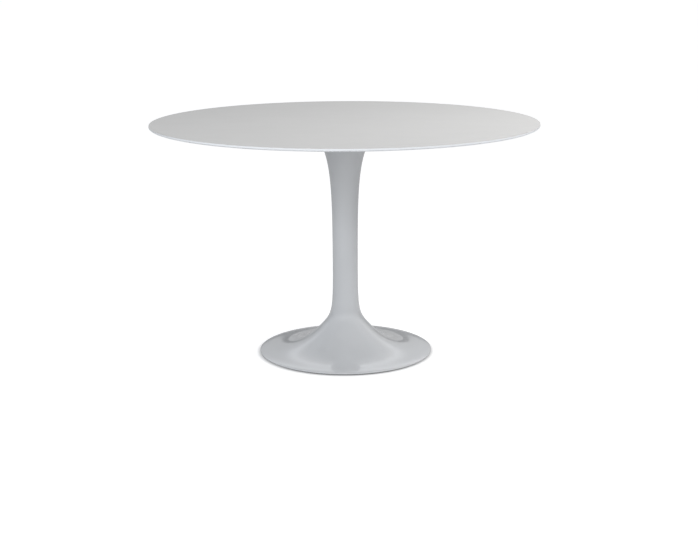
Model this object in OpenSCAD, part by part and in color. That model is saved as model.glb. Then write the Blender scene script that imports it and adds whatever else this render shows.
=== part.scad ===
// Round pedestal dining table. A laminated board top with an undercut edge is
// screwed to a steel plate, and a central tie rod pulls that plate down on a
// one-piece trumpet-shaped casting with a ballast ring inside its foot.
// +Z is up. The origin is on the floor, on the axis of the pedestal.

/* [Overall] */
// Diameter of the top
top_d = 1200; // [1100:10:1300]
// Height of the finished table
table_h = 735; // [715:5:760]

/* [Top] */
// Full thickness of the top at its middle
top_t = 25; // [22:1:32]
// Thickness of the face laminate
face_t = 1; // [0.8:0.1:1.2]
// Thickness of the backing laminate
backing_t = 0.8; // [0.6:0.1:1]
// Height of the upright nose of the edge, below the face
nose_h = 4.5; // [3:0.5:6]
// How far below the face the rounded part of the edge ends
nose_drop = 10; // [8:0.5:11]
// How far in from the edge the rounded part ends
nose_in = 11; // [9:1:14]
// How far in from the edge the underside becomes level
bevel_in = 135; // [120:5:160]

/* [Mounting plate] */
// Diameter of the steel plate under the top
plate_d = 380; // [370:5:400]
// Thickness of the steel plate
plate_t = 5; // [4:1:6]
// Number of screws that hold the plate to the top
plate_screw_n = 8; // [6:1:10]
// Diameter of the circle that the plate screws stand on
plate_pcd = 340; // [330:5:345]
// Diameter of the turned hub under the plate
hub_d = 70; // [64:2:76]
// Length of the hub below the plate
hub_h = 30; // [24:1:34]

/* [Pedestal] */
// Diameter of the foot at its widest
foot_d = 548; // [540:2:560]
// Height of the rim of the foot above the floor
foot_gap = 3; // [2.5:0.5:3.5]
// Radius of the rounded rim of the foot
rim_r = 2.5; // [2:0.5:3]
// Wall thickness of the casting
wall = 5; // [4:0.5:5.5]
// Diameter of the neck at its thinnest
neck_d = 80; // [76:2:88]
// Height of the thinnest point of the neck
neck_z = 300; // [290:5:320]
// Diameter of the mouth below the plate
mouth_d = 200; // [190:5:220]
// Height of the web that the tie rod pulls on
web_z = 60; // [58:1:62]
// Thickness of the web and of the seat in the mouth
web_t = 8; // [7:1:9]

/* [Tie rod] */
// Diameter of the tie rod
rod_d = 16; // [14:1:16]
// Height of the lower end of the tie rod
rod_z = 30; // [28:1:32]

/* [Ballast] */
// Outer diameter of the ballast ring
ballast_d = 380; // [360:5:390]
// Inner diameter of the ballast ring
ballast_bore = 140; // [136:1:142]
// Height of the underside of the ballast ring
ballast_z = 5; // [5:0.5:6]
// Height of the thick inner part of the ballast ring
ballast_top_z = 38; // [36:1:40]

/* [Foot ring and cover] */
// Outer diameter of the rubber foot ring
ring_d = 534; // [532:1:536]
// Width of the rubber foot ring
ring_w = 16; // [14:1:18]
// Diameter of the bottom cover
cover_d = 486; // [480:2:488]
// Thickness of the bottom cover
cover_t = 1.5; // [1:0.5:1.5]
// Diameter of the access hole in the bottom cover
access_d = 100; // [90:2:110]

/* [Hidden] */
$fn = 128;

// clearance of a shank in its thread, and of a spigot in its bore
fit = 0.1;
// extra length that takes a cutting shape past the face it cuts
past = 1;
// points on each stretch of the pedestal's outline, on its rim and on an arris
steps = 16;
rim_steps = 8;
arris_steps = 4;

// levels of the top, from the floor
face_z = table_h - face_t;
under_z = table_h - top_t;
core_z = under_z + backing_t;
top_r = top_d / 2;
bevel_r = top_r - bevel_in;
arris = 0.5;

// threaded inserts and the screws and washers that hold the plate
insert_r = 6;
insert_h = 14;
m6_r = 3;
m6_l = 17;
m6_hole_r = 3.5;
m6_head_r = 5.5;
m6_head_h = 3.6;
m6_washer_r = 7;
m6_washer_t = 1.6;

// levels of the plate, the hub and the mouth of the pedestal
plate_z = under_z - plate_t;
gasket_t = 1;
gasket_inset = 2;
gasket_gap = 5;
mouth_z = plate_z - gasket_t;
seat_z = mouth_z - web_t;
hub_z = plate_z - hub_h;
spigot_r = 15;
hub_play = 0.5;

// tie rod and the parts clamped on it, from the web down
rod_r = rod_d / 2;
rod_play = 0.8;
rod_top_gap = 2;
nut_af = 24;
nut_h = 13;
lock_nut_h = 8;
clamp_plate_r = 45;
clamp_plate_t = 6;
clamp_washer_r = 15;
clamp_washer_t = 3;
spring_washer_r = 13.5;
spring_washer_t = 4;
clamp_plate_z = web_z - clamp_plate_t;
clamp_washer_z = clamp_plate_z - clamp_washer_t;
spring_washer_z = clamp_washer_z - spring_washer_t;
clamp_nut_z = spring_washer_z - nut_h;

// ballast ring, its bolts and the bosses that they screw into
ballast_play = 3;
ballast_n = 4;
ballast_bolt_r = 84;
boss_r = 12;
well_r = 9;
well_h = 12;
m8_r = 4;
m8_l = 42;
m8_hole_r = 4.5;
m8_head_r = 6.5;
m8_head_h = 8;
m8_washer_r = 8;
m8_washer_t = 1.6;

// foot ring, bottom cover and access plug
land_r = 246;
rib_w = 4;
rib_h = 2.5;
cover_n = 4;
cover_screw_r = 160;
cover_z = ballast_z - cover_t;
m5_r = 2.5;
m5_l = 8;
m5_hole_r = 2.75;
m5_head_r = 4.5;
m5_head_h = 1.8;
plug_lip = 4;
plug_lip_t = 1.2;
plug_wall = 2;
bead = 0.8;
bead_h = 1.5;

// ---- curves --------------------------------------------------------------

// Point on a cubic curve with the control points c
function on_curve(c, t) =
  pow(1 - t, 3) * c[0] + 3 * t * pow(1 - t, 2) * c[1]
  + 3 * t * t * (1 - t) * c[2] + pow(t, 3) * c[3];

// Direction of a cubic curve, as a unit vector
function heading(c, t) =
  let (v = pow(1 - t, 2) * (c[1] - c[0]) + 2 * t * (1 - t) * (c[2] - c[1]) + t * t * (c[3] - c[2]))
  v / norm(v);

// Points along a cubic curve, moved to its left by depth, without its first point
function along(c, depth = 0) = [
  for (i = [1:steps])
    let (t = i / steps, h = heading(c, t))
    on_curve(c, t) + depth * [-h[1], h[0]]
];

// Points on an arc from angle a to angle b
function arc(centre, r, a, b, n) = [
  for (i = [0:n])
    let (g = a + (b - a) * i / n)
    centre + r * [cos(g), sin(g)]
];

// Unit vector at an angle
function toward(angle) = [cos(angle), sin(angle)];

// ---- outline of the pedestal ----------------------------------------------

// The flange rises from the rim, bends upwards into the neck, and flares again
// to the mouth. Each stretch is a cubic curve that leaves and ends at an angle
// from level, and the lead lengths set how slowly it turns.
foot_angle = 168;
bend_angle = 132.7;
mouth_angle = 42;
foot_lead = 40;
bend_lead_in = 110;
bend_lead_out = 58;
neck_lead_in = 172;
neck_lead_out = 230;
mouth_lead = 78;
rim_c = [foot_d / 2 - rim_r, foot_gap + rim_r];
flange = rim_c + rim_r * toward(foot_angle - 90);
bend = [80, 82];
neck = [neck_d / 2, neck_z];
lip_h = 3;
mouth = [mouth_d / 2, mouth_z - lip_h];
flange_curve = [
  flange, flange + foot_lead * toward(foot_angle), bend - bend_lead_in * toward(bend_angle), bend
];
bend_curve = [bend, bend + bend_lead_out * toward(bend_angle), neck - [0, neck_lead_in], neck];
flare_curve = [neck, neck + [0, neck_lead_out], mouth - mouth_lead * toward(mouth_angle), mouth];

// Outline from the flange to the mouth, at a depth below the outer surface
function shell_line(depth) =
  concat(along(flange_curve, depth), along(bend_curve, depth), along(flare_curve, depth));

// The stretch of a line that is inside a radius and between two heights
function stretch(line, r, low, high) = [for (p = line) if (p[0] < r && p[1] > low && p[1] < high) p];

// Outline of the space under the shell: level at its bottom and at its top
function under_shell(depth, r, low, high) =
  let (side = stretch(shell_line(depth), r, low, high), last = side[len(side) - 1])
  concat(
    [[0, low], [r, low], [r, lookup(r, along(flange_curve, depth))]],
    side,
    [[last[0], high], [0, high]]
  );

// ---- shared pieces -------------------------------------------------------

// Copies of a piece around the axis
module around(n, r) {
  for (i = [0:n - 1])
    rotate(i * 360 / n) translate([r, 0, 0]) children();
}

// Flat ring from height z up
module ring(r, bore, z, h) {
  difference() {
    translate([0, 0, z]) cylinder(r = r, h = h);
    translate([0, 0, z - past]) cylinder(r = bore, h = h + 2 * past);
  }
}

// Screw that points up, with its head below height z and a hexagon socket
module screw_up(z, r, l, head_r, head_h) {
  socket_r = r * 0.8;
  socket_h = head_h / 2;
  translate([0, 0, z]) cylinder(r = r, h = l);
  difference() {
    translate([0, 0, z - head_h]) cylinder(r = head_r, h = head_h);
    translate([0, 0, z - head_h - past]) cylinder(r = socket_r, h = socket_h + past, $fn = 6);
  }
}

// Hexagon nut with chamfered corners
module hex_nut(z, h) {
  corner_r = nut_af / 2 / cos(30);
  chamfer = 1.2;
  difference() {
    intersection() {
      translate([0, 0, z]) cylinder(r = corner_r, h = h, $fn = 6);
      union() {
        translate([0, 0, z])
          cylinder(r1 = corner_r - chamfer, r2 = corner_r, h = chamfer);
        translate([0, 0, z + chamfer]) cylinder(r = corner_r, h = h - 2 * chamfer);
        translate([0, 0, z + h - chamfer])
          cylinder(r1 = corner_r, r2 = corner_r - chamfer, h = chamfer);
      }
    }
    translate([0, 0, z - past]) cylinder(r = rod_r + fit, h = h + 2 * past);
  }
}

// ---- top -----------------------------------------------------------------

module top_face_laminate() {
  color("gainsboro")
    rotate_extrude()
      polygon(concat(
        [[0, face_z], [top_r, face_z]],
        arc([top_r - arris, table_h - arris], arris, 0, 90, arris_steps),
        [[0, table_h]]
      ));
}

module top_core() {
  nose = [top_r, table_h - nose_h];
  bevel = [top_r - nose_in, table_h - nose_drop];
  level = [bevel_r, core_z];
  run = (bevel - level) / norm(bevel - level);
  edge = [nose, nose - [0, nose_drop - nose_h] / 2, bevel + run * nose_in / 2, bevel];
  color("ghostwhite")
    difference() {
      rotate_extrude()
        polygon(concat([[0, core_z], [0, face_z], [top_r, face_z], nose], along(edge), [level]));
      around(plate_screw_n, plate_pcd / 2)
        translate([0, 0, core_z - past]) cylinder(r = insert_r + fit, h = insert_h + past);
    }
}

module top_backing_laminate() {
  color("lightgray")
    difference() {
      translate([0, 0, under_z]) cylinder(r = bevel_r, h = backing_t);
      around(plate_screw_n, plate_pcd / 2)
        translate([0, 0, under_z - past]) cylinder(r = insert_r + fit, h = backing_t + 2 * past);
    }
}

module top_inserts() {
  color("goldenrod")
    around(plate_screw_n, plate_pcd / 2) ring(insert_r, m6_r + fit, under_z, insert_h);
}

// ---- mounting plate --------------------------------------------------------

module mounting_plate() {
  color("dimgray")
    difference() {
      ring(plate_d / 2, spigot_r + fit, plate_z, plate_t);
      around(plate_screw_n, plate_pcd / 2)
        translate([0, 0, plate_z - past]) cylinder(r = m6_hole_r, h = plate_t + 2 * past);
    }
}

module plate_hub() {
  chamfer = 2;
  color("silver")
    difference() {
      union() {
        translate([0, 0, hub_z])
          cylinder(r1 = hub_d / 2 - chamfer, r2 = hub_d / 2, h = chamfer);
        translate([0, 0, hub_z + chamfer]) cylinder(d = hub_d, h = hub_h - chamfer);
        translate([0, 0, plate_z]) cylinder(r = spigot_r, h = plate_t);
      }
      translate([0, 0, hub_z - past])
        cylinder(r = rod_r + fit, h = hub_h + plate_t + 2 * past);
    }
}

module plate_screws() {
  color("silver")
    around(plate_screw_n, plate_pcd / 2)
      screw_up(plate_z - m6_washer_t, m6_r, m6_l, m6_head_r, m6_head_h);
}

module plate_washers() {
  color("lightsteelblue")
    around(plate_screw_n, plate_pcd / 2)
      ring(m6_washer_r, m6_r + fit, plate_z - m6_washer_t, m6_washer_t);
}

module hub_lock_nut() {
  color("silver") hex_nut(hub_z - lock_nut_h, lock_nut_h);
}

// ---- pedestal --------------------------------------------------------------

module mouth_gasket() {
  color("darkslategray")
    ring(mouth_d / 2 - gasket_inset, hub_d / 2 + gasket_gap, mouth_z, gasket_t);
}

module pedestal() {
  rim = arc(rim_c, rim_r, -90, foot_angle - 90, rim_steps);
  color("white")
    difference() {
      union() {
        difference() {
          rotate_extrude()
            polygon(concat([[0, foot_gap]], rim, shell_line(0), [[mouth_d / 2, mouth_z], [0, mouth_z]]));
          rotate_extrude()
            difference() {
              polygon(under_shell(wall, land_r, foot_gap - past, seat_z));
              translate([0, web_z]) square([land_r, web_t]);
            }
        }
        around(ballast_n, ballast_bolt_r)
          translate([0, 0, ballast_top_z]) cylinder(r = boss_r, h = web_z + web_t / 2 - ballast_top_z);
      }
      translate([0, 0, web_z - past]) cylinder(r = rod_r + rod_play, h = web_t + 2 * past);
      translate([0, 0, seat_z - past]) cylinder(r = hub_d / 2 + hub_play, h = web_t + 2 * past);
      around(ballast_n, ballast_bolt_r)
        translate([0, 0, ballast_top_z - past])
          cylinder(r = m8_r + fit, h = web_z - ballast_top_z + past);
      ring(ring_d / 2 - (ring_w - rib_w) / 2, ring_d / 2 - (ring_w + rib_w) / 2,
        foot_gap - past, rib_h + past);
    }
}

// ---- tie rod and clamp -----------------------------------------------------

module tie_rod() {
  end_z = under_z - rod_top_gap;
  chamfer = 1.5;
  color("silver") {
    translate([0, 0, rod_z]) cylinder(r1 = rod_r - chamfer, r2 = rod_r, h = chamfer);
    translate([0, 0, rod_z + chamfer]) cylinder(r = rod_r, h = end_z - rod_z - 2 * chamfer);
    translate([0, 0, end_z - chamfer]) cylinder(r1 = rod_r, r2 = rod_r - chamfer, h = chamfer);
  }
}

module clamp_plate() {
  color("dimgray") ring(clamp_plate_r, rod_r + rod_play, clamp_plate_z, clamp_plate_t);
}

module clamp_washer() {
  color("lightsteelblue")
    ring(clamp_washer_r, rod_r + rod_play / 2, clamp_washer_z, clamp_washer_t);
}

module clamp_spring_washer() {
  split = 1.5;
  split_angle = 30;
  color("slategray")
    difference() {
      ring(spring_washer_r, rod_r + fit, spring_washer_z, spring_washer_t);
      translate([spring_washer_r, 0, spring_washer_z + spring_washer_t / 2])
        rotate([split_angle, 0, 0])
          cube([2 * spring_washer_r, split, 4 * spring_washer_t], center = true);
    }
}

module clamp_nut() {
  color("silver") hex_nut(clamp_nut_z, nut_h);
}

// ---- ballast ---------------------------------------------------------------

module ballast_ring() {
  color("darkgray")
    difference() {
      rotate_extrude()
        polygon(under_shell(wall + ballast_play, ballast_d / 2, ballast_z, ballast_top_z));
      translate([0, 0, ballast_z - past])
        cylinder(d = ballast_bore, h = ballast_top_z - ballast_z + 2 * past);
      around(ballast_n, ballast_bolt_r)
        translate([0, 0, ballast_z - past]) {
          cylinder(r = well_r, h = well_h + past);
          cylinder(r = m8_hole_r, h = ballast_top_z - ballast_z + 2 * past);
        }
      rotate(180 / cover_n)
        around(cover_n, cover_screw_r)
          translate([0, 0, ballast_z - past]) cylinder(r = m5_r + fit, h = m5_l + past);
    }
}

module ballast_bolts() {
  color("black")
    around(ballast_n, ballast_bolt_r)
      screw_up(ballast_z + well_h - m8_washer_t, m8_r, m8_l, m8_head_r, m8_head_h);
}

module ballast_washers() {
  color("lightsteelblue")
    around(ballast_n, ballast_bolt_r)
      ring(m8_washer_r, m8_r + fit, ballast_z + well_h - m8_washer_t, m8_washer_t);
}

// ---- foot ring and cover ---------------------------------------------------

module foot_ring() {
  out_r = ring_d / 2;
  in_r = out_r - ring_w;
  mid_r = (out_r + in_r) / 2;
  rib = rib_w / 2 - fit;
  color("dimgray")
    rotate_extrude()
      polygon([
        [in_r + arris, 0], [out_r - arris, 0], [out_r, arris], [out_r, foot_gap],
        [mid_r + rib, foot_gap], [mid_r + rib, foot_gap + rib_h - fit],
        [mid_r - rib, foot_gap + rib_h - fit], [mid_r - rib, foot_gap],
        [in_r, foot_gap], [in_r, arris]
      ]);
}

module bottom_cover() {
  color("gray")
    difference() {
      ring(cover_d / 2, access_d / 2, cover_z, cover_t);
      rotate(180 / cover_n)
        around(cover_n, cover_screw_r)
          translate([0, 0, cover_z - past]) cylinder(r = m5_hole_r, h = cover_t + 2 * past);
    }
}

module cover_screws() {
  color("silver")
    rotate(180 / cover_n)
      around(cover_n, cover_screw_r) screw_up(cover_z, m5_r, m5_l, m5_head_r, m5_head_h);
}

module access_plug() {
  plug_r = access_d / 2 - fit;
  bead_r = access_d / 2 + bead;
  top_z = ballast_z + bead_h;
  color("darkgray")
    rotate_extrude()
      polygon([
        [0, cover_z - plug_lip_t], [access_d / 2 + plug_lip, cover_z - plug_lip_t],
        [access_d / 2 + plug_lip, cover_z], [plug_r, cover_z], [plug_r, ballast_z],
        [bead_r, ballast_z], [plug_r, top_z], [plug_r - plug_wall, top_z],
        [plug_r - plug_wall, cover_z], [0, cover_z]
      ]);
}

top_face_laminate();
top_core();
top_backing_laminate();
top_inserts();
mounting_plate();
plate_hub();
plate_screws();
plate_washers();
hub_lock_nut();
mouth_gasket();
pedestal();
tie_rod();
clamp_plate();
clamp_washer();
clamp_spring_washer();
clamp_nut();
ballast_ring();
ballast_bolts();
ballast_washers();
foot_ring();
bottom_cover();
cover_screws();
access_plug();
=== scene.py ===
"""Looks of a round pedestal dining table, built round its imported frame.

The table is a thin round top with an undercut edge on one trumpet-shaped pedestal. Each
class below is one sub-assembly: it takes its levels and radii from the frame, turns its
pieces on their axes, and gives each piece its finish. All lengths are in metres.
"""

import logging
import math
from dataclasses import dataclass, field
from enum import Enum
from typing import Callable, Iterable, Optional, Sequence

import bmesh
import bpy
from mathutils import Matrix, Vector


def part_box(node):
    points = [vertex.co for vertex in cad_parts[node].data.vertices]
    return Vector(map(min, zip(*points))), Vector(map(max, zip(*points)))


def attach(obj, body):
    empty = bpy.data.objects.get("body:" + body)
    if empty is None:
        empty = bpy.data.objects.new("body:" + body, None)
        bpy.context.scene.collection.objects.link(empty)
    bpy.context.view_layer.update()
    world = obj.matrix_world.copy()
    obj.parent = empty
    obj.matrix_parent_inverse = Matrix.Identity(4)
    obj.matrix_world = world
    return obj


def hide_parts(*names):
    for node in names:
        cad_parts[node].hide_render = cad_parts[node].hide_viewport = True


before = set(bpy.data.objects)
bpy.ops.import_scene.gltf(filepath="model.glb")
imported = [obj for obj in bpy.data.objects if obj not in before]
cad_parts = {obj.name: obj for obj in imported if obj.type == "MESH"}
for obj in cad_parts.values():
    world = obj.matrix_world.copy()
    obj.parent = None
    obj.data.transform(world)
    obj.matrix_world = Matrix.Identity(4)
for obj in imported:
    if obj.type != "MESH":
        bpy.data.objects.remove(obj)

LOG = logging.getLogger("pedestal_table")
ROOT = "root"
FULL_TURN = 2 * math.pi
MM = 0.001
HAIR = MM / 100
MERGE = 1e-6
SMOOTH_ANGLE = math.radians(32)

Point = tuple[float, float]
Corner = tuple[float, float, float]


# ---- frame ---------------------------------------------------------------------------


@dataclass(frozen=True)
class Span:
    """The levels and the radius that a CAD node takes up.

    Attributes:
        low: Its lowest level.
        high: Its highest level.
        radius: How far it reaches from the axis on every side, less a hair.
    """

    low: float
    high: float
    radius: float

    @classmethod
    def of(cls, node: str) -> "Span":
        """Measures a CAD node.

        Args:
            node: The node's name.

        Returns:
            Its levels and radius.
        """
        low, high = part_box(node)
        return cls(low.z, high.z, min(-low.x, -low.y, high.x, high.y) - HAIR)

    def section(self, inner: float, rounding: float) -> list[Point]:
        """The section of a flat ring that fills the span, or of a disc where inner is 0."""
        return box_section(inner, self.radius, self.low, self.high, rounding)


def measured(node: str) -> Span:
    """A dataclass field that holds the span of a CAD node."""
    return field(default_factory=lambda: Span.of(node))


# ---- outlines ------------------------------------------------------------------------


def cubic(ends: Sequence[Vector], steps: int, depth: float = 0.0) -> list[Point]:
    """Points along a cubic curve, moved to its left by a depth.

    Args:
        ends: The curve's four control points.
        steps: How many stretches it is cut into.
        depth: How far the points lie to the left of the curve.

    Returns:
        The points, from the first end to the last.
    """
    a, b, c, d = ends
    points = []
    for i in range(steps + 1):
        t = i / steps
        s = 1 - t
        on = s**3 * a + 3 * s * s * t * b + 3 * s * t * t * c + t**3 * d
        heading = (s * s * (b - a) + 2 * s * t * (c - b) + t * t * (d - c)).normalized()
        points.append((on.x - depth * heading.y, on.y + depth * heading.x))
    return points


def toward(degrees: float) -> Vector:
    """A unit vector at an angle from level."""
    return Vector((math.cos(math.radians(degrees)), math.sin(math.radians(degrees))))


def rounded(corners: Sequence[Corner], closed: bool = False, steps: int = 4) -> list[Point]:
    """Rounds the corners of an outline.

    Args:
        corners: Each corner as radius, level and rounding radius.
        closed: Whether the last corner joins the first.
        steps: How many stretches each rounding is cut into.

    Returns:
        The outline's points.
    """
    count = len(corners)
    points: list[Point] = []
    for i, (r, z, rounding) in enumerate(corners):
        here = Vector((r, z))
        if rounding <= 0 or (not closed and i in (0, count - 1)):
            points.append((r, z))
            continue
        before = (Vector(corners[i - 1][:2]) - here).normalized()
        after = (Vector(corners[(i + 1) % count][:2]) - here).normalized()
        half = before.angle(after) / 2
        centre = here + (before + after).normalized() * rounding / math.sin(half)
        start = here + before * rounding / math.tan(half) - centre
        end = here + after * rounding / math.tan(half) - centre
        first = math.atan2(start.y, start.x)
        turn = math.atan2(end.y, end.x) - first
        turn = (turn + math.pi) % FULL_TURN - math.pi
        for k in range(steps + 1):
            angle = first + turn * k / steps
            points.append((centre.x + rounding * math.cos(angle), centre.y + rounding * math.sin(angle)))
    return points


def box_section(inner: float, outer: float, low: float, high: float, rounding: float) -> list[Point]:
    """The section of a flat ring, or of a disc where inner is 0.

    Args:
        inner: Inner radius.
        outer: Outer radius.
        low: Level of its underside.
        high: Level of its upper side.
        rounding: Radius of its edges.

    Returns:
        The outline's points.
    """
    if inner <= 0:
        return rounded([(0, low, 0), (outer, low, rounding), (outer, high, rounding), (0, high, 0)])
    return rounded(
        [(inner, low, rounding), (outer, low, rounding), (outer, high, rounding), (inner, high, rounding)],
        closed=True,
    )


# ---- meshes --------------------------------------------------------------------------


def spin_into(form: bmesh.types.BMesh, outline: Sequence[Point], steps: int) -> None:
    """Turns an outline round the Z axis into a closed shell.

    Args:
        form: The mesh that takes the shell.
        outline: Points of the half section. One that starts and ends on the axis is a
            solid, and any other is closed into a ring.
        steps: How many steps make a full turn.
    """
    verts = [form.verts.new((r, 0.0, z)) for r, z in outline]
    edges = [form.edges.new(pair) for pair in zip(verts, verts[1:])]
    if outline[0][0] > MERGE or outline[-1][0] > MERGE:
        edges.append(form.edges.new((verts[-1], verts[0])))
    bmesh.ops.spin(
        form,
        geom=verts + edges,
        cent=(0, 0, 0),
        axis=(0, 0, 1),
        angle=FULL_TURN,
        steps=steps,
        use_merge=True,
    )
    bmesh.ops.remove_doubles(form, verts=form.verts, dist=MERGE)
    bmesh.ops.recalc_face_normals(form, faces=form.faces)


def mesh_from(form: bmesh.types.BMesh) -> bpy.types.Mesh:
    """Ends a bmesh and shades it smooth up to its sharp edges.

    Args:
        form: The bmesh, which is freed.

    Returns:
        The finished mesh.
    """
    mesh = bpy.data.meshes.new("piece")
    form.to_mesh(mesh)
    form.free()
    mesh.shade_smooth()
    mesh.set_sharp_from_angle(angle=SMOOTH_ANGLE)
    return mesh


def turned(outline: Sequence[Point], steps: int) -> bpy.types.Mesh:
    """A mesh turned round the Z axis.

    Args:
        outline: Points of its half section.
        steps: How many steps make a full turn.

    Returns:
        The mesh.
    """
    form = bmesh.new()
    spin_into(form, outline, steps)
    return mesh_from(form)


def prism(sides: int, corner_radius: float, low: float, high: float) -> bpy.types.Mesh:
    """An upright prism on the Z axis.

    Args:
        sides: How many sides it has.
        corner_radius: How far its corners are from the axis.
        low: Level of its underside.
        high: Level of its upper side.

    Returns:
        The mesh.
    """
    form = bmesh.new()
    bmesh.ops.create_cone(
        form,
        cap_ends=True,
        segments=sides,
        radius1=corner_radius,
        radius2=corner_radius,
        depth=high - low,
        matrix=Matrix.Translation((0, 0, (low + high) / 2)),
    )
    return mesh_from(form)


def threaded(radius: float, depth: float, pitch: float, low: float, high: float) -> bpy.types.Mesh:
    """A bar with a screw thread along all of it, cut level at both ends.

    Args:
        radius: Radius over the crests.
        depth: Depth of the thread.
        pitch: Rise of one turn.
        low: Level of its lower end.
        high: Level of its upper end.

    Returns:
        The mesh.
    """
    form = bmesh.new()
    crest = pitch / 8
    flank = pitch * 3 / 8
    count = math.ceil((high - low) / pitch) + 2
    start = low - 1.5 * pitch
    line: list[Vector] = []
    for i in range(count):
        z = start + i * pitch
        line.append(Vector((radius - depth, 0, z)))
        line.append(Vector((radius, 0, z + flank)))
        line.append(Vector((radius, 0, z + flank + crest)))
        line.append(Vector((radius - depth, 0, z + 2 * flank + crest)))
    verts = [form.verts.new(point) for point in line]
    edges = [form.edges.new(pair) for pair in zip(verts, verts[1:])]
    steps = 24
    bmesh.ops.spin(
        form,
        geom=verts + edges,
        cent=(0, 0, 0),
        axis=(0, 0, 1),
        dvec=(0, 0, pitch / steps),
        angle=FULL_TURN,
        steps=steps,
    )
    bmesh.ops.remove_doubles(form, verts=form.verts, dist=MERGE * 5)
    for level, way in ((low, -1), (high, 1)):
        cut = bmesh.ops.bisect_plane(
            form,
            geom=form.verts[:] + form.edges[:] + form.faces[:],
            plane_co=(0, 0, level),
            plane_no=(0, 0, way),
            clear_outer=True,
        )
        rim = [item for item in cut["geom_cut"] if isinstance(item, bmesh.types.BMEdge)]
        bmesh.ops.contextual_create(form, geom=rim)
    bmesh.ops.recalc_face_normals(form, faces=form.faces)
    return mesh_from(form)


def placed(name: str, mesh: bpy.types.Mesh) -> bpy.types.Object:
    """Puts a mesh in the scene as an object at the origin."""
    piece = bpy.data.objects.new(name, mesh)
    bpy.context.scene.collection.objects.link(piece)
    return piece


def joined(meshes: Iterable[bpy.types.Mesh], places: Iterable[Matrix]) -> bpy.types.Mesh:
    """Copies of some meshes at some places, as one mesh.

    Args:
        meshes: The meshes that make one copy. They are removed.
        places: Where each copy goes.

    Returns:
        The mesh.
    """
    form = bmesh.new()
    parts = list(meshes)
    for place in places:
        for part in parts:
            moved = part.copy()
            moved.transform(place)
            form.from_mesh(moved)
            bpy.data.meshes.remove(moved)
    for part in parts:
        bpy.data.meshes.remove(part)
    return mesh_from(form)


class Cut(Enum):
    """How a tool shapes a mesh."""

    AWAY = "DIFFERENCE"
    WITHIN = "INTERSECT"


def shaped(mesh: bpy.types.Mesh, tool: bpy.types.Mesh, cut: Cut) -> bpy.types.Mesh:
    """Cuts a mesh with another.

    Args:
        mesh: The mesh to cut. It is removed.
        tool: The cutting mesh. It is removed.
        cut: Whether the tool is cut away or what is inside it is kept.

    Returns:
        The cut mesh.
    """
    body = placed("body", mesh)
    cutter = placed("tool", tool)
    change = body.modifiers.new("cut", "BOOLEAN")
    change.object = cutter
    change.operation = cut.value
    change.solver = "EXACT"
    view = bpy.context.evaluated_depsgraph_get()
    result = bpy.data.meshes.new_from_object(body.evaluated_get(view), depsgraph=view)
    for thing in (body, cutter):
        bpy.data.objects.remove(thing)
    for old in (mesh, tool):
        bpy.data.meshes.remove(old)
    form = bmesh.new()
    form.from_mesh(result)
    bpy.data.meshes.remove(result)
    bmesh.ops.remove_doubles(form, verts=form.verts, dist=MERGE)
    return mesh_from(form)


def ring_of(count: int, radius: float, first: float = 0.0) -> list[Matrix]:
    """Places spread evenly round the table's axis.

    Args:
        count: How many places.
        radius: How far they are from the axis.
        first: The first place's angle in degrees.

    Returns:
        One matrix for each place.
    """
    places = []
    for i in range(count):
        angle = math.radians(first) + FULL_TURN * i / count
        places.append(Matrix.Rotation(angle, 4, "Z") @ Matrix.Translation((radius, 0, 0)))
    return places


def holes(radius: float, low: float, high: float, places: Sequence[Matrix]) -> bpy.types.Mesh:
    """A tool that drills round holes.

    Args:
        radius: Radius of the holes.
        low: Level that they start at.
        high: Level that they end at.
        places: Where they are.

    Returns:
        The tool.
    """
    outline = [(0, low), (radius, low), (radius, high), (0, high)]
    return joined([turned(outline, 32)], places)


# ---- shader nodes --------------------------------------------------------------------


class Sheet:
    """A node tree that is wired one node at a time."""

    def __init__(self, tree: bpy.types.NodeTree) -> None:
        """Takes the tree to build in."""
        self.tree = tree

    def add(self, kind: str, inputs: Optional[dict] = None, **settings: object) -> bpy.types.Node:
        """Adds a node.

        Args:
            kind: The node's type, without its ShaderNode prefix.
            inputs: A value or a socket for each input, by name or number.
            **settings: The node's own settings.

        Returns:
            The node.
        """
        node = self.tree.nodes.new(kind if kind.startswith("NodeGroup") else "ShaderNode" + kind)
        for key, value in settings.items():
            setattr(node, key, value)
        for key, value in (inputs or {}).items():
            if isinstance(value, bpy.types.NodeSocket):
                self.tree.links.new(value, node.inputs[key])
            else:
                node.inputs[key].default_value = value
        return node

    def math(self, operation: str, *values: object) -> bpy.types.NodeSocket:
        """Adds a Math node and gives its result."""
        return self.add("Math", dict(enumerate(values)), operation=operation).outputs[0]

    def place(self) -> bpy.types.NodeSocket:
        """Adds a Texture Coordinate node and gives the place on the object."""
        return self.add("TexCoord").outputs["Object"]

    def ramp(self, value: object, low: object, high: object, least: float = 0.0) -> bpy.types.NodeSocket:
        """Adds a Map Range node and gives its result, which rises to 1.

        Args:
            value: The socket that it reads.
            low: Where the rise starts.
            high: Where the rise ends.
            least: The result below the rise.

        Returns:
            The result's socket.
        """
        return self.add("MapRange", {0: value, 1: low, 2: high, 3: least, 4: 1.0}).outputs[0]

    def noise(
        self, where: object, scale: object, detail: float, roughness: float = 0.55
    ) -> bpy.types.NodeSocket:
        """Adds a Noise Texture and gives its value.

        Args:
            where: The socket of its coordinates.
            scale: Its scale, as a number or a socket.
            detail: How many octaves it has.
            roughness: How strong its finer octaves are.

        Returns:
            The noise, about 0.5 on average.
        """
        node = self.add(
            "TexNoise", {"Vector": where, "Scale": scale, "Detail": detail, "Roughness": roughness}
        )
        return node.outputs["Fac"]


def blank(name: str) -> tuple[bpy.types.Material, Sheet, bpy.types.Node]:
    """A new node material, its sheet and its shader."""
    made = bpy.data.materials.new(name)
    made.use_nodes = True
    return made, Sheet(made.node_tree), made.node_tree.nodes["Principled BSDF"]


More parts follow.
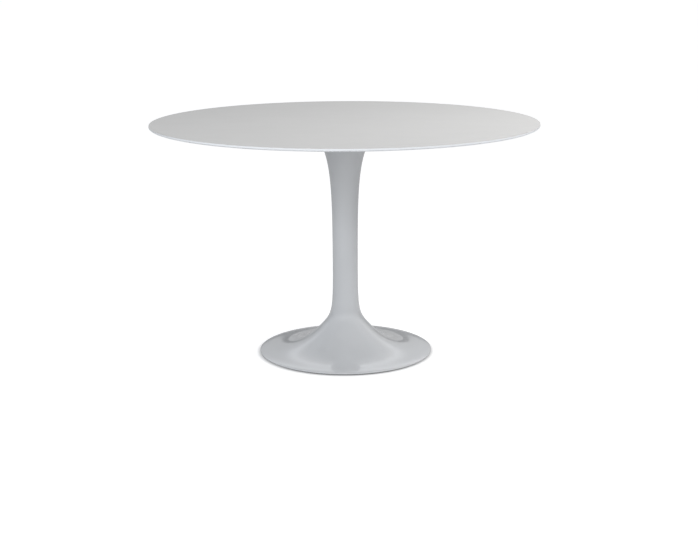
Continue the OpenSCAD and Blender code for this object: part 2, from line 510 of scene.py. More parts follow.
def effect(
    name: str, takes: dict[str, float | tuple], gives: dict[str, str], build: Callable[[Sheet, dict], dict]
) -> bpy.types.NodeTree:
    """Makes a shader node group.

    Args:
        name: The group's name.
        takes: Each input's default. A number makes a value and a tuple a colour.
        gives: Each output's socket type.
        build: Wires the group from its inputs' sockets, and returns its outputs' sockets.

    Returns:
        The group.
    """
    tree = bpy.data.node_groups.new(name, "ShaderNodeTree")
    for key, default in takes.items():
        kind = "NodeSocketColor" if isinstance(default, tuple) else "NodeSocketFloat"
        tree.interface.new_socket(key, in_out="INPUT", socket_type=kind).default_value = default
    for key, kind in gives.items():
        tree.interface.new_socket(key, in_out="OUTPUT", socket_type=kind)
    sheet = Sheet(tree)
    entry = sheet.add("NodeGroupInput")
    exit_node = sheet.add("NodeGroupOutput")
    made = build(sheet, {key: entry.outputs[key] for key in takes})
    for key, socket in made.items():
        tree.links.new(socket, exit_node.inputs[key])
    return tree


def wire_drift(sheet: Sheet, takes: dict) -> dict:
    """Colour that drifts a little darker and lighter in broad and in fine patches."""
    where = sheet.place()
    broad = sheet.noise(where, takes["Scale"], 3)
    fine = sheet.noise(where, sheet.math("MULTIPLY", takes["Scale"], 14.0), 2)
    mixed = sheet.math("ADD", sheet.math("MULTIPLY", broad, 0.7), sheet.math("MULTIPLY", fine, 0.3))
    around = sheet.math("MULTIPLY", sheet.math("SUBTRACT", mixed, 0.5), 2.0)
    gain = sheet.math("ADD", sheet.math("MULTIPLY", around, takes["Spread"]), 1.0)
    scaled = sheet.add("VectorMath", {0: takes["Color"], "Scale": gain}, operation="SCALE")
    return {"Color": scaled.outputs[0]}


def wire_relief(sheet: Sheet, takes: dict) -> dict:
    """Height of a fine grain on a broad waviness, in metres."""
    where = sheet.place()
    grain = sheet.noise(where, takes["Grain Scale"], 2)
    wave = sheet.noise(where, takes["Wave Scale"], 1)
    grain_height = sheet.math("MULTIPLY", grain, takes["Grain Depth"])
    wave_height = sheet.math("MULTIPLY", wave, takes["Wave Depth"])
    return {"Height": sheet.math("ADD", grain_height, wave_height)}


def wire_handling(sheet: Sheet, takes: dict) -> dict:
    """Roughness with the smears and fine marks that handling leaves."""
    where = sheet.place()
    stretched = sheet.add(
        "Mapping", {"Vector": where, "Rotation": (0.0, 0.0, 0.6), "Scale": (1.0, 3.5, 1.0)}
    ).outputs[0]
    smear = sheet.noise(stretched, takes["Scale"], 4, 0.6)
    speck = sheet.noise(where, sheet.math("MULTIPLY", takes["Scale"], 30.0), 2)
    mixed = sheet.math("ADD", sheet.math("MULTIPLY", smear, 0.75), sheet.math("MULTIPLY", speck, 0.25))
    around = sheet.math("MULTIPLY", sheet.math("SUBTRACT", mixed, 0.5), 2.0)
    rough = sheet.math("ADD", takes["Roughness"], sheet.math("MULTIPLY", around, takes["Spread"]))
    return {"Roughness": sheet.add("Clamp", {0: rough, 1: 0.03, 2: 1.0}).outputs[0]}


def wire_wear(sheet: Sheet, takes: dict) -> dict:
    """Mask of worn outer edges, broken up by noise."""
    where = sheet.place()
    bent = sheet.add("NewGeometry").outputs["Pointiness"]
    edge = sheet.ramp(bent, 0.53, 0.62)
    broken = sheet.noise(where, takes["Scale"], 4, 0.65)
    patch = sheet.ramp(broken, 0.42, 0.6)
    return {"Mask": sheet.math("MULTIPLY", sheet.math("MULTIPLY", edge, patch), takes["Amount"])}


def wire_turning(sheet: Sheet, takes: dict) -> dict:
    """Height of the fine rings that a lathe leaves round the axis, in metres."""
    where = sheet.place()
    flat = sheet.add("VectorMath", {0: where, 1: (1.0, 1.0, 0.0)}, operation="MULTIPLY").outputs[0]
    radius = sheet.add("VectorMath", {0: flat}, operation="LENGTH").outputs["Value"]
    settings = {"W": radius, "Scale": takes["Scale"], "Detail": 3.0}
    rings = sheet.add("TexNoise", settings, noise_dimensions="1D")
    return {"Height": sheet.math("MULTIPLY", rings.outputs["Fac"], takes["Depth"])}


def wire_dust(sheet: Sheet, takes: dict) -> dict:
    """Mask of the thin dust that lies on what faces up."""
    where = sheet.place()
    facing = sheet.add("SeparateXYZ", {0: sheet.add("NewGeometry").outputs["Normal"]}).outputs["Z"]
    up = sheet.ramp(facing, 0.5, 1.0)
    spread = sheet.noise(where, takes["Scale"], 5, 0.6)
    patch = sheet.ramp(spread, 0.35, 0.75, 0.2)
    return {"Mask": sheet.math("MULTIPLY", sheet.math("MULTIPLY", up, patch), takes["Amount"])}


class Effects:
    """The node groups that the finishes share, each made once."""

    VALUE = "NodeSocketFloat"
    COLOUR = "NodeSocketColor"

    def __init__(self) -> None:
        """Makes every group."""
        self.drift = effect(
            "colour_drift",
            {"Color": (0.5, 0.5, 0.5, 1.0), "Spread": 0.02, "Scale": 6.0},
            {"Color": self.COLOUR},
            wire_drift,
        )
        self.relief = effect(
            "surface_relief",
            {"Grain Scale": 800.0, "Grain Depth": 0.00001, "Wave Scale": 20.0, "Wave Depth": 0.0001},
            {"Height": self.VALUE},
            wire_relief,
        )
        self.handling = effect(
            "handling_marks",
            {"Roughness": 0.4, "Spread": 0.05, "Scale": 4.0},
            {"Roughness": self.VALUE},
            wire_handling,
        )
        self.wear = effect("edge_wear", {"Amount": 0.3, "Scale": 60.0}, {"Mask": self.VALUE}, wire_wear)
        self.turning = effect(
            "turning_rings", {"Scale": 900.0, "Depth": 0.00001}, {"Height": self.VALUE}, wire_turning
        )
        self.dust = effect("settled_dust", {"Amount": 0.1, "Scale": 9.0}, {"Mask": self.VALUE}, wire_dust)


@dataclass(frozen=True)
class Finish:
    """How the surface of one material looks.

    Attributes:
        slot: The record's material slot that it stands for.
        color: Its main colour, in linear light.
        worn: Its colour where the edges are worn.
        drift: How far its colour drifts.
        drift_scale: Patches of that drift in a metre.
        roughness: Its roughness.
        smears: How far handling changes its roughness.
        metallic: 1 on bare metal and 0 on anything else.
        grain: Grains of its fine relief in a metre.
        grain_depth: Depth of that relief.
        wave: Waves of its broad relief in a metre.
        wave_depth: Depth of that relief.
        wear: How strongly its edges are worn.
        dust: How much dust lies on it.
        rings: Depth of the rings that a lathe left.
        coat: Weight of its clear coat.
        coat_roughness: Roughness of that coat.
    """

    slot: str
    color: tuple[float, float, float]
    worn: tuple[float, float, float] = (0.5, 0.5, 0.5)
    drift: float = 0.03
    drift_scale: float = 6.0
    roughness: float = 0.4
    smears: float = 0.05
    metallic: float = 0.0
    grain: float = 800.0
    grain_depth: float = 0.00001
    wave: float = 25.0
    wave_depth: float = 0.0
    wear: float = 0.0
    dust: float = 0.0
    rings: float = 0.0
    coat: float = 0.0
    coat_roughness: float = 0.05

    def material(self, effects: Effects) -> bpy.types.Material:
        """Builds the finish as a node material.

        Args:
            effects: The node groups that finishes share.

        Returns:
            The material.
        """
        made, sheet, shader = blank(self.slot)
        for key, value in (
            ("Metallic", self.metallic),
            ("Coat Weight", self.coat),
            ("Coat Roughness", self.coat_roughness),
        ):
            shader.inputs[key].default_value = value
        made.node_tree.links.new(self._colour(sheet, effects), shader.inputs["Base Color"])
        handling = self._group(
            sheet, effects.handling, {"Roughness": self.roughness, "Spread": self.smears, "Scale": 5.0}
        )
        made.node_tree.links.new(handling.outputs["Roughness"], shader.inputs["Roughness"])
        bump = sheet.add("Bump", {"Strength": 1.0, "Distance": 1.0, "Height": self._height(sheet, effects)})
        made.node_tree.links.new(bump.outputs["Normal"], shader.inputs["Normal"])
        return made

    @staticmethod
    def _group(sheet: Sheet, tree: bpy.types.NodeTree, inputs: dict) -> bpy.types.Node:
        """Places a node group with its own values."""
        node = sheet.tree.nodes.new("ShaderNodeGroup")
        node.node_tree = tree
        for key, value in inputs.items():
            node.inputs[key].default_value = value
        return node

    def _colour(self, sheet: Sheet, effects: Effects) -> bpy.types.NodeSocket:
        """Wires the colour.

        Args:
            sheet: The material's sheet.
            effects: The node groups that finishes share.

        Returns:
            The colour's socket.
        """
        settings = {"Color": (*self.color, 1.0), "Spread": self.drift, "Scale": self.drift_scale}
        colour = self._group(sheet, effects.drift, settings).outputs["Color"]
        layers = (
            (self.wear, effects.wear, 60.0, self.worn),
            (self.dust, effects.dust, 9.0, (0.52, 0.5, 0.47)),
        )
        for amount, tree, scale, tint in layers:
            if amount > 0:
                mask = self._group(sheet, tree, {"Amount": amount, "Scale": scale}).outputs["Mask"]
                mix = sheet.add("Mix", {0: mask, 6: colour, 7: (*tint, 1.0)}, data_type="RGBA")
                colour = mix.outputs[2]
        return colour

    def _height(self, sheet: Sheet, effects: Effects) -> bpy.types.NodeSocket:
        """Wires the relief.

        Args:
            sheet: The material's sheet.
            effects: The node groups that finishes share.

        Returns:
            The height's socket, in metres.
        """
        relief = self._group(
            sheet,
            effects.relief,
            {
                "Grain Scale": self.grain,
                "Grain Depth": self.grain_depth,
                "Wave Scale": self.wave,
                "Wave Depth": self.wave_depth,
            },
        )
        height = relief.outputs["Height"]
        if self.rings > 0:
            rings = self._group(sheet, effects.turning, {"Scale": 700.0, "Depth": self.rings})
            height = sheet.math("ADD", height, rings.outputs["Height"])
        return height


FINISHES = (
    Finish(
        "face_laminate", (0.565, 0.56, 0.55), drift=0.035, drift_scale=9.0, roughness=0.5, smears=0.06,
        grain=1400.0, grain_depth=0.000012, wave=60.0, wave_depth=0.00001,
    ),
    Finish(
        "painted_board", (0.83, 0.85, 0.875), drift=0.02, roughness=0.28, smears=0.05, grain=260.0,
        grain_depth=0.000008, coat=0.2, coat_roughness=0.15,
    ),
    Finish(
        "backing_laminate", (0.50, 0.50, 0.49), drift=0.05, drift_scale=40.0, roughness=0.6,
        grain=900.0, grain_depth=0.00003,
    ),
    # Painted shade: the casting is white like the board's paint, but its colour is a darker blue-grey that
    # stands for the shade falling on the pedestal.
    Finish(
        "coated_casting", (0.58, 0.592, 0.61), worn=(0.42, 0.42, 0.42), drift=0.02, drift_scale=5.0,
        roughness=0.3, smears=0.05, grain=240.0, grain_depth=0.000006, wave=16.0, wave_depth=0.00012,
        dust=0.03, coat=1.0, coat_roughness=0.04,
    ),
    Finish(
        "black_steel", (0.022, 0.022, 0.024), worn=(0.25, 0.25, 0.26), drift=0.15, roughness=0.5,
        grain=1600.0, grain_depth=0.00004, wear=0.1,
    ),
    Finish(
        "turned_steel", (0.58, 0.58, 0.59), drift=0.06, drift_scale=30.0, roughness=0.3, smears=0.08,
        metallic=1.0, grain=1500.0, grain_depth=0.000004, rings=0.00001,
    ),
    Finish(
        "zinc_steel", (0.62, 0.64, 0.66), worn=(0.35, 0.33, 0.3), drift=0.1, drift_scale=150.0,
        roughness=0.34, smears=0.1, metallic=1.0, grain=2500.0, grain_depth=0.000006, wear=0.3,
    ),
    Finish(
        "spring_steel", (0.2, 0.21, 0.24), worn=(0.5, 0.5, 0.5), drift=0.2, drift_scale=120.0,
        roughness=0.4, smears=0.1, metallic=1.0, grain=2500.0, grain_depth=0.000008, wear=0.5,
    ),
    Finish(
        "insert_brass", (0.72, 0.52, 0.22), worn=(0.85, 0.7, 0.4), drift=0.1, drift_scale=150.0,
        roughness=0.3, smears=0.08, metallic=1.0, grain=2000.0, grain_depth=0.000005, wear=0.4,
    ),
    Finish(
        "ballast_iron", (0.055, 0.055, 0.06), worn=(0.18, 0.08, 0.04), drift=0.35, drift_scale=25.0,
        roughness=0.62, smears=0.12, grain=450.0, grain_depth=0.00018, wave=60.0, wave_depth=0.0004,
        wear=0.5,
    ),
    Finish(
        "foot_rubber", (0.03, 0.03, 0.031), worn=(0.1, 0.1, 0.1), drift=0.2, drift_scale=40.0,
        roughness=0.75, grain=1200.0, grain_depth=0.00004, wear=0.3,
    ),
    Finish(
        "gasket_rubber", (0.02, 0.02, 0.02), drift=0.2, drift_scale=60.0, roughness=0.8, grain=1500.0,
        grain_depth=0.00003,
    ),
    Finish(
        "cover_plastic", (0.045, 0.045, 0.048), worn=(0.12, 0.12, 0.12), drift=0.12, drift_scale=25.0,
        roughness=0.5, grain=1100.0, grain_depth=0.00006, wear=0.3,
    ),
)


class Paintbox:
    """Hands out the finishes by the record's slots, and dresses pieces and hangs them on the root body."""

    def __init__(self) -> None:
        """Builds every finish once."""
        effects = Effects()
        self.materials = {finish.slot: finish.material(effects) for finish in FINISHES}

    def dress(self, name: str, mesh: bpy.types.Mesh, slot: str, *nodes: str) -> bpy.types.Object:
        """Makes a mesh a finished piece.

        Args:
            name: The piece's name.
            mesh: Its mesh, in place.
            slot: The record's slot that it takes its finish from.
            *nodes: The CAD nodes that it stands for.

        Returns:
            The piece.
        """
        mesh.name = name
        mesh.materials.clear()
        mesh.materials.append(self.materials[slot])
        piece = placed(name, mesh)
        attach(piece, ROOT)
        if nodes:
            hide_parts(*nodes)
        LOG.info("piece %s: %d faces, stands for %s", name, len(mesh.polygons), ", ".join(nodes) or "nothing")
        return piece

    def repaint(self, node: str, slot: str) -> None:
        """Gives a CAD node that stays its finish.

        Args:
            node: The CAD node.
            slot: The record's slot of its finish.
        """
        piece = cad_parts[node]
        for place in piece.material_slots:
            place.material = self.materials[slot]
        LOG.info("node %s: kept, finished as %s", node, slot)


# ---- sub-assemblies ------------------------------------------------------------------


@dataclass
class Top:
    """The laminated board: face, shaped core with its painted edge, and backing.

    Attributes:
        nose: Height of the upright nose of the edge.
        drop: How far below the face the rounded part of the edge ends.
        inward: How far in from the edge the rounded part ends.
        arris: Rounding of the face laminate's edge.
        steps: Steps in a full turn.
    """

    nose: float = 4.5 * MM
    drop: float = 10 * MM
    inward: float = 11 * MM
    arris: float = 0.5 * MM
    steps: int = 360
    face: Span = measured("top_face_laminate")
    core: Span = measured("top_core")
    backing: Span = measured("top_backing_laminate")

    def build(self, paint: Paintbox) -> None:
        """Makes the top's pieces.

        Args:
            paint: The finishes.
        """
        paint.dress("face_laminate", self.face_mesh(), "face_laminate", "top_face_laminate")
        paint.dress("shaped_board", self.core_mesh(), "painted_board", "top_core")
        paint.dress("backing_sheet", self.backing_mesh(), "backing_laminate", "top_backing_laminate")

    def face_mesh(self) -> bpy.types.Mesh:
        """The face laminate, with an eased upper edge."""
        low, high, radius = self.face.low, self.face.high, self.face.radius
        corners = [(0, low, 0), (radius, low, 0), (radius, high, self.arris), (0, high, 0)]
        return turned(rounded(corners, steps=5), self.steps)

    def core_mesh(self) -> bpy.types.Mesh:
        """The board, with its upright nose, rounded lower edge and long bevel."""
        radius = self.core.radius
        table = self.face.high
        nose = Vector((radius, table - self.nose))
        bevel = Vector((radius - self.inward, table - self.drop))
        level = Vector((self.backing.radius, self.core.low))
        run = (bevel - level).normalized()
        edge = [nose, nose - Vector((0, (self.drop - self.nose) / 2)), bevel + run * self.inward / 2, bevel]
        outline = [(0.0, self.core.low), tuple(level)]
        outline += reversed(cubic(edge, 12))
        outline += [(radius, self.core.high), (0.0, self.core.high)]
        return turned(outline, self.steps)

    def backing_mesh(self) -> bpy.types.Mesh:
        """The backing sheet, let in flush with the start of the bevel."""
        return turned(self.backing.section(0, 0.2 * MM), self.steps)


@dataclass
class Screw:
    """A screw or bolt that points up, with a rounded socket head below its seat.

    Attributes:
        seat: Level that the head bears on.
        radius: Radius over the thread.
        length: Length below the seat.
        head_radius: Radius of the head.
        head_height: Height of the head.
        pitch: Rise of one turn of the thread.
        crown: Rounding of the head, as a share of its radius or height, whichever is less.
        socket: Corner radius of the socket, as a share of the thread's radius.
        socket_depth: Depth of the socket, as a share of the head's height.
        thread_depth: Depth of the thread, as a share of its pitch.
    """

    seat: float
    radius: float
    length: float
    head_radius: float
    head_height: float
    pitch: float
    crown: float = 0.45
    socket: float = 0.8
    socket_depth: float = 0.55
    thread_depth: float = 0.6

    def meshes(self) -> list[bpy.types.Mesh]:
        """The head and the threaded shank, on the Z axis."""
        low = self.seat - self.head_height
        crown = min(self.head_radius, self.head_height) * self.crown
        corners = [
            (0, low, 0),
            (self.head_radius, low, crown),
            (self.head_radius, self.seat, 0.1 * MM),
            (0, self.seat, 0),
        ]
        head = turned(rounded(corners, steps=6), 48)
        deep = low + self.head_height * self.socket_depth
        socket = prism(6, self.radius * self.socket, low - MM, deep)
        head = shaped(head, socket, Cut.AWAY)
        high = self.seat + self.length
        depth = self.pitch * self.thread_depth
        shank = threaded(self.radius, depth, self.pitch, self.seat, high)
        return [head, shank]


@dataclass
class Plate:
    """The steel plate under the top, its hub, screws, washers and gasket.

    Attributes:
        count: Number of screws.
        circle: Radius of the circle that the screws stand on.
        hole: Radius of the plate's screw holes.
        spigot: Radius of the hub's spigot.
        play: Gap round the spigot in the plate.
        rod_hole: Radius of the hub's bore for the tie rod.
        seal_hole: Inner radius of the gasket.
        washer: Inner radius, outer radius and thickness of a screw's washer.
    """

    count: int = 8
    circle: float = 170 * MM
    hole: float = 3.5 * MM
    spigot: float = 15 * MM
    play: float = 0.1 * MM
    rod_hole: float = 8.1 * MM
    seal_hole: float = 40 * MM
    washer: Corner = (3.1 * MM, 7 * MM, 1.6 * MM)
    plate: Span = measured("mounting_plate")
    hub: Span = measured("plate_hub")
    gasket: Span = measured("mouth_gasket")

    def build(self, paint: Paintbox) -> None:
        """Makes the plate and what belongs to it.

        Args:
            paint: The finishes.
        """
        places = ring_of(self.count, self.circle)
        low, high = self.plate.low, self.plate.high
        disc = turned(self.plate.section(self.spigot + self.play, 0.8 * MM), 256)
        disc = shaped(disc, holes(self.hole, low - MM, high + MM, places), Cut.AWAY)
        paint.dress("steel_plate", disc, "black_steel", "mounting_plate")
        bore, outer, thickness = self.washer
        washer = turned(box_section(bore, outer, low - thickness, low, 0.25 * MM), 48)
        paint.dress("screw_washers", joined([washer], places), "zinc_steel", "plate_washers")
        screw = Screw(
            low - thickness,
            radius=3 * MM,
            length=17 * MM,
            head_radius=5.5 * MM,
            head_height=3.6 * MM,
            pitch=MM,
        )
        screws = joined(screw.meshes(), places)
        paint.dress("pan_head_screws", screws, "zinc_steel", "plate_screws")
        seal = turned(self.gasket.section(self.seal_hole, 0.4 * MM), 192)
        paint.dress("mouth_seal", seal, "gasket_rubber", "mouth_gasket")
        paint.dress("turned_hub", self.hub_mesh(), "turned_steel", "plate_hub")
        paint.repaint("top_inserts", "insert_brass")

    def hub_mesh(self) -> bpy.types.Mesh:
        """The hub, with its spigot up into the plate and its bore for the tie rod."""
        bore, spigot = self.rod_hole, self.spigot
        corners = [
            (bore, self.hub.low, MM),
            (self.hub.radius, self.hub.low, 2 * MM),
            (self.hub.radius, self.plate.low, 0.3 * MM),
            (spigot, self.plate.low, 0),
            (spigot, self.hub.high, 0.5 * MM),
            (bore, self.hub.high, 0.5 * MM),
        ]
        return turned(rounded(corners, closed=True), 128)


@dataclass
class Pedestal:
    """The one-piece trumpet-shaped casting, hollow, with a web and a seat inside.

    Attributes:
        gap: Height of the rim above the floor.
        rim: Radius of the rounded rim.
        wall: Thickness of the wall.
        neck: Radius and height of the thinnest point.
        bend: Radius and height where the flange turns up into the neck.
        foot_angle: The outline's heading where the flange starts, in degrees.
        bend_angle: Its heading at the bend.
        mouth_angle: Its heading at the mouth.
        foot_lead: How long the curve keeps to that heading from the rim.
        bend_leads: The same before and after the bend.
        neck_leads: The same below and above the neck.
        mouth_lead: The same before the mouth.
        lip: Height of the upright lip of the mouth.
        land: Inner radius of the flat land under the rim.
        groove: Inner radius, outer radius and depth of the foot ring's groove.
        web: Lower and upper level of the web.
        rod_hole: Radius of the web's hole for the tie rod.
        hub_hole: Radius of the seat's hole for the hub.
        mouth_radius: Radius of the mouth.
        boss: Inner radius, outer radius and lowest level of a boss for the ballast.
        boss_count: Number of bosses.
        boss_circle: Radius of the circle that they stand on.
        steps: Steps in a full turn.
    """

    gap: float = 3 * MM
    rim: float = 2.5 * MM
    wall: float = 5 * MM
    neck: Vector = field(default_factory=lambda: Vector((40, 300)) * MM)
    bend: Vector = field(default_factory=lambda: Vector((80, 82)) * MM)
    foot_angle: float = 168.0
    bend_angle: float = 132.7
    mouth_angle: float = 42.0
    foot_lead: float = 40 * MM
    bend_leads: Point = (110 * MM, 58 * MM)
    neck_leads: Point = (172 * MM, 230 * MM)
    mouth_lead: float = 78 * MM
    lip: float = 3 * MM
    land: float = 246 * MM
    groove: Corner = (257 * MM, 261 * MM, 2.5 * MM)
    web: Point = (60 * MM, 68 * MM)
    rod_hole: float = 8.8 * MM
    hub_hole: float = 35.5 * MM
    mouth_radius: float = 100 * MM
    boss: Corner = (4.1 * MM, 12 * MM, 38 * MM)
    boss_count: int = 4
    boss_circle: float = 84 * MM
    steps: int = 320
    body: Span = measured("pedestal")

    def build(self, paint: Paintbox) -> None:
        """Makes the casting and the bosses inside its foot.

        Args:
            paint: The finishes.
        """
        paint.dress("trumpet_casting", self.casting_mesh(), "coated_casting", "pedestal")
        boss = turned(box_section(*self.boss, self.web[0], 0.6 * MM), 48)
        bosses = joined([boss], ring_of(self.boss_count, self.boss_circle))
        paint.dress("ballast_bosses", bosses, "coated_casting")

    def line(self, depth: float) -> list[Point]:
        """The casting's outline from the rim to the mouth.

        Args:
            depth: How far below the outer surface it lies.

        Returns:
            The outline's points.
        """
        rim, bend, neck = self.rim, self.bend, self.neck
        start = Vector((self.body.radius - rim, self.gap + rim)) + rim * toward(self.foot_angle - 90)
        mouth = Vector((self.mouth_radius, self.body.high - self.lip))
        upright = Vector((0, 1))
        turn = toward(self.bend_angle)
        before, after = self.bend_leads
        below, above = self.neck_leads
        flange = [start, start + self.foot_lead * toward(self.foot_angle), bend - before * turn, bend]
        rise = [bend, bend + after * turn, neck - below * upright, neck]
        flare = [neck, neck + above * upright, mouth - self.mouth_lead * toward(self.mouth_angle), mouth]
        return cubic(flange, 40, depth) + cubic(rise, 32, depth)[1:] + cubic(flare, 40, depth)[1:]

    def casting_mesh(self) -> bpy.types.Mesh:
        """The whole casting as one closed shell with a true wall."""
        low, high = self.gap, self.body.high
        web_low, web_high = self.web
        seat = high - (web_high - web_low)
        centre = Vector((self.body.radius - self.rim, low + self.rim))
        count = 12
        rim = [tuple(centre + self.rim * toward(self.foot_angle * k / count - 90)) for k in range(count)]
        inner = self.line(self.wall)
        upper = [p for p in inner if web_high < p[1] < seat]
        lower = [p for p in inner if p[1] < web_low and p[0] < self.land]
        groove_in, groove_out, groove_depth = self.groove
        deep = low + groove_depth
        outline = rim + self.line(0.0)
        outline += [(self.mouth_radius, high), (self.hub_hole, high), (self.hub_hole, seat)]
        outline += [(upper[-1][0], seat)] + upper[::-1] + [(upper[0][0], web_high)]
        outline += [(self.rod_hole, web_high), (self.rod_hole, web_low), (lower[-1][0], web_low)]
        outline += lower[::-1] + [(self.land, lower[0][1]), (self.land, low)]
        outline += [(groove_in, low), (groove_in, deep), (groove_out, deep), (groove_out, low)]
        return turned(outline, self.steps)


@dataclass
class Clamp:
    """The tie rod and what is clamped on it under the web.

    Attributes:
        plate_hole: Radius of the clamp plate's hole.
        washer_hole: Radius of the flat washer's hole.
        nut_hole: Radius of the bores of the nuts and of the spring washer.
        pitch: Rise of one turn of the rod's thread.
        thread_depth: Depth of that thread.
        lead_in: How far in and how far along the rod's ends taper.
        lift: How far the spring washer's ends stand apart.
        spring_turn: How far round the spring washer reaches, in degrees.
    """

    plate_hole: float = 8.8 * MM
    washer_hole: float = 8.4 * MM
    nut_hole: float = 8.1 * MM
    pitch: float = 2 * MM
    thread_depth: float = 1.1 * MM
    lead_in: Point = (1.5 * MM, 2.5 * MM)
    lift: float = 0.8 * MM
    spring_turn: float = 350.0
    rod: Span = measured("tie_rod")
    plate: Span = measured("clamp_plate")
    washer: Span = measured("clamp_washer")
    spring: Span = measured("clamp_spring_washer")
    nut: Span = measured("clamp_nut")
    lock: Span = measured("hub_lock_nut")

    def build(self, paint: Paintbox) -> None:
        """Makes the rod, plate, washers and nuts.

        Args:
            paint: The finishes.
        """
        paint.dress("threaded_tie_rod", self.rod_mesh(), "zinc_steel", "tie_rod")
        plate = turned(self.plate.section(self.plate_hole, 0.6 * MM), 96)
        paint.dress("round_clamp_plate", plate, "black_steel", "clamp_plate")
        washer = turned(self.washer.section(self.washer_hole, 0.4 * MM), 64)
        paint.dress("rod_washer", washer, "zinc_steel", "clamp_washer")
        paint.dress("split_washer", self.spring_mesh(), "spring_steel", "clamp_spring_washer")
        paint.dress("rod_nut", self.nut_mesh(self.nut), "zinc_steel", "clamp_nut")
        paint.dress("lock_nut", self.nut_mesh(self.lock), "zinc_steel", "hub_lock_nut")

    def rod_mesh(self) -> bpy.types.Mesh:
        """The rod, threaded along all of it, with tapered ends."""
        radius, low, high = self.rod.radius, self.rod.low, self.rod.high
        taper, along = self.lead_in
        bar = threaded(radius, self.thread_depth, self.pitch, low + HAIR, high - HAIR)
        ends = [(0, low), (radius - taper, low), (radius + MM, low + along)]
        ends += [(radius + MM, high - along), (radius - taper, high), (0, high)]
        return shaped(bar, turned(ends, 48), Cut.WITHIN)

    def spring_mesh(self) -> bpy.types.Mesh:
        """The spring washer: a bar of square section, bent round with a gap."""
        low, high = self.spring.low, self.spring.high - self.lift
        form = bmesh.new()
        section = box_section(self.nut_hole, self.spring.radius, low, high, 0.3 * MM)
        verts = [form.verts.new((r, 0.0, z)) for r, z in section]
        face = form.faces.new(verts)
        steps = 60
        bmesh.ops.spin(
            form,
            geom=[face, *face.edges, *face.verts],
            cent=(0, 0, 0),
            axis=(0, 0, 1),
            dvec=(0, 0, self.lift / steps),
            angle=math.radians(self.spring_turn),
            steps=steps,
        )
        bmesh.ops.remove_doubles(form, verts=form.verts, dist=MERGE)
        bmesh.ops.recalc_face_normals(form, faces=form.faces)
        return mesh_from(form)

    def nut_mesh(self, span: Span) -> bpy.types.Mesh:
        """A hexagon nut with chamfered corners and a plain bore.

        Args:
                span: Its levels and half its width across the flats.

        Returns:
            The mesh.
        """
        corner = span.radius / math.cos(math.pi / 6)
        chamfer = (corner - span.radius) * 0.84
        solid = prism(6, corner, span.low, span.high)
        corners = [
            (self.nut_hole, span.low, 0.8 * MM),
            (span.radius, span.low, 0),
            (corner + MM, span.low + chamfer, 0),
            (corner + MM, span.high - chamfer, 0),
            (span.radius, span.high, 0),
            (self.nut_hole, span.high, 0.8 * MM),
        ]
        return shaped(solid, turned(rounded(corners, closed=True), 96), Cut.WITHIN)


@dataclass
class Ballast:
    """The cast-iron ring inside the foot, with its bolts and washers.

    Attributes:
        count: Number of bolts.
        circle: Radius of the circle that the bolts stand on.
        cover_circle: Radius of the circle of the cover's screws.
        inner: Inner radius of the ring.
        play: Gap between the ring and the casting.
        well: Radius and depth of the wells for the bolt heads.
        bolt_hole: Radius of the bolt holes.
        cover_hole: Radius and depth of the cover's screw holes.
        washer: Inner radius, outer radius and thickness of a bolt's washer.
    """

    count: int = 4
    circle: float = 84 * MM
    cover_circle: float = 160 * MM
    inner: float = 70 * MM
    play: float = 3 * MM
    well: Point = (9 * MM, 12 * MM)
    bolt_hole: float = 4.5 * MM
    cover_hole: Point = (2.6 * MM, 8 * MM)
    washer: Corner = (4.1 * MM, 8 * MM, 1.6 * MM)
    ring: Span = measured("ballast_ring")

    def build(self, paint: Paintbox, pedestal: Pedestal) -> None:
        """Makes the ring, its bolts and its washers.

        Args:
            paint: The finishes.
            pedestal: The casting, whose inner surface the ring follows.
        """
        places = ring_of(self.count, self.circle)
        paint.dress("ballast_casting", self.ring_mesh(pedestal, places), "ballast_iron", "ballast_ring")
        bore, outer, thickness = self.washer
        seat = self.ring.low + self.well[1]
        washer = turned(box_section(bore, outer, seat - thickness, seat, 0.25 * MM), 48)
        paint.dress("bolt_washers", joined([washer], places), "zinc_steel", "ballast_washers")
        bolt = Screw(
            seat - thickness,
            radius=4 * MM,
            length=42 * MM,
            head_radius=6.5 * MM,
            head_height=8 * MM,
            pitch=1.25 * MM,
        )
        paint.dress("socket_bolts", joined(bolt.meshes(), places), "zinc_steel", "ballast_bolts")

    def ring_mesh(self, pedestal: Pedestal, places: Sequence[Matrix]) -> bpy.types.Mesh:
        """The ring, with bolt wells and holes and the cover's screw holes.

        Args:
            pedestal: The casting that the ring fits inside.
            places: Where the bolts are.

        Returns:
            The mesh.
        """
        low, high = self.ring.low, self.ring.high
        inner, outer = self.inner, self.ring.radius
        well, depth = self.well
        hole, hole_depth = self.cover_hole
        side = [p for p in pedestal.line(pedestal.wall + self.play) if p[0] < outer and low < p[1] < high]
        outline = [(inner, low), (outer, low), (outer, side[0][1]), *side]
        outline += [(side[-1][0], high), (inner, high)]
        ring = turned(outline, 192)
        screw_places = ring_of(self.count, self.cover_circle, 45)
        for drill in (
            holes(well, low - MM, low + depth, places),
            holes(self.bolt_hole, low + depth / 2, high + MM, places),
            holes(hole, low - MM, low + hole_depth, screw_places),
        ):
            ring = shaped(ring, drill, Cut.AWAY)
        return ring


